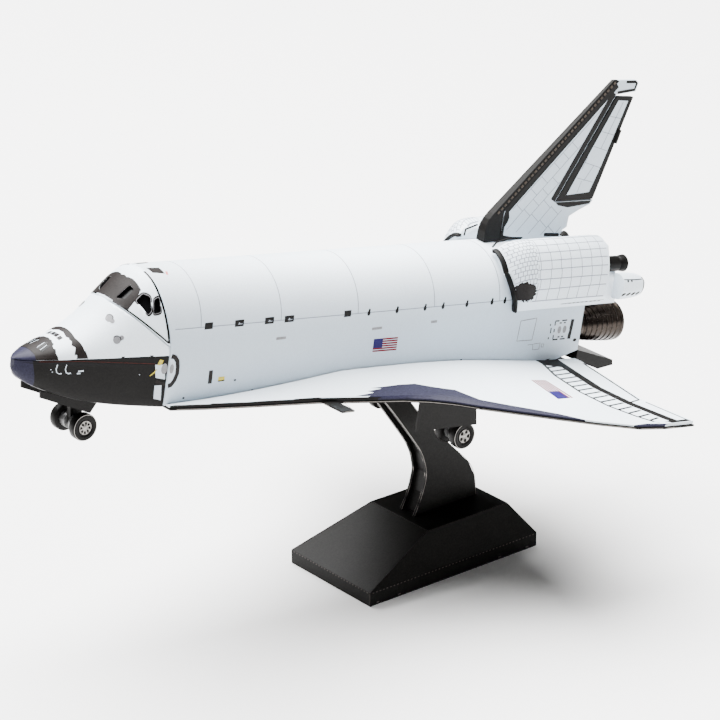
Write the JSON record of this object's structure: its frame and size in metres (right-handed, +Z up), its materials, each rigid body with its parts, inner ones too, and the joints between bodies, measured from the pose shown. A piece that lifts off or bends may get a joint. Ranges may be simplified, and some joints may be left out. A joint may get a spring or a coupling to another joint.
{
  "type": "folded metal model of a space shuttle on a display stand",
  "caption": "Desk model of a winged space shuttle in folded printed sheet metal, wheels down, held nose-up on a black display stand.",
  "frame": {"origin": "on the surface the stand rests on, at the middle of the model's bounding box", "axes": "+X aft, towards the engines; +Y to the shuttle's starboard side; +Z up. The shuttle is pitched 10.11 degrees nose-up, with its nose towards -X"},
  "size_m": [0.107, 0.0684, 0.0636],
  "materials": {
    "white_sheet": "satin white print on thin steel sheet",
    "black_sheet": "matt black print on thin steel sheet",
    "engine_steel": "dark bronze-grey ribbed sheet",
    "bare_steel": "bare and dark-etched thin steel"
  },
  "bodies": {
    "orbiter": {"body_flap": "black_sheet", "cockpit": "white_sheet", "fin": "white_sheet", "fin_leading_strip": "black_sheet", "lower_nose": "black_sheet", "mid_fuselage": "white_sheet", "nose_strut": "black_sheet", "port_control_pod": "white_sheet", "port_main_engine": "engine_steel", "port_main_gear_door": "black_sheet", "port_main_strut": "black_sheet", "port_nose_gear_door": "black_sheet", "port_orbital_pod": "white_sheet", "port_pod_nozzle": "black_sheet", "port_wing": "white_sheet", "rear_bulkhead": "black_sheet", "rudder": "black_sheet", "stand_arm_core": "black_sheet", "stand_arm_port_plate": "black_sheet", "stand_arm_starboard_plate": "black_sheet", "stand_base": "black_sheet", "starboard_control_pod": "white_sheet", "starboard_main_engine": "engine_steel", "starboard_main_gear_door": "black_sheet", "starboard_main_strut": "black_sheet", "starboard_nose_gear_door": "black_sheet", "starboard_orbital_pod": "white_sheet", "starboard_pod_nozzle": "black_sheet", "starboard_wing": "white_sheet", "underside_panel": "black_sheet", "upper_main_engine": "engine_steel", "upper_nose": "white_sheet"},
    "nose_wheel_pair": {"nose_wheels": "bare_steel"},
    "port_wheel_pair": {"port_main_wheels": "bare_steel"},
    "starboard_wheel_pair": {"starboard_main_wheels": "bare_steel"}
  },
  "joints": [
    {"name": "nose_wheel_spin", "type": "hinge", "parent": "orbiter", "child": "nose_wheel_pair", "pos_m": [-0.04453, 0, 0.03663], "axis": [0, 1, 0], "continuous": true},
    {"name": "port_wheel_spin", "type": "hinge", "parent": "orbiter", "child": "port_wheel_pair", "pos_m": [0.01352, -0.00745, 0.0215], "axis": [0, 1, 0], "continuous": true},
    {"name": "starboard_wheel_spin", "type": "hinge", "parent": "orbiter", "child": "starboard_wheel_pair", "pos_m": [0.01352, 0.00745, 0.0215], "axis": [0, 1, 0], "continuous": true}
  ]
}
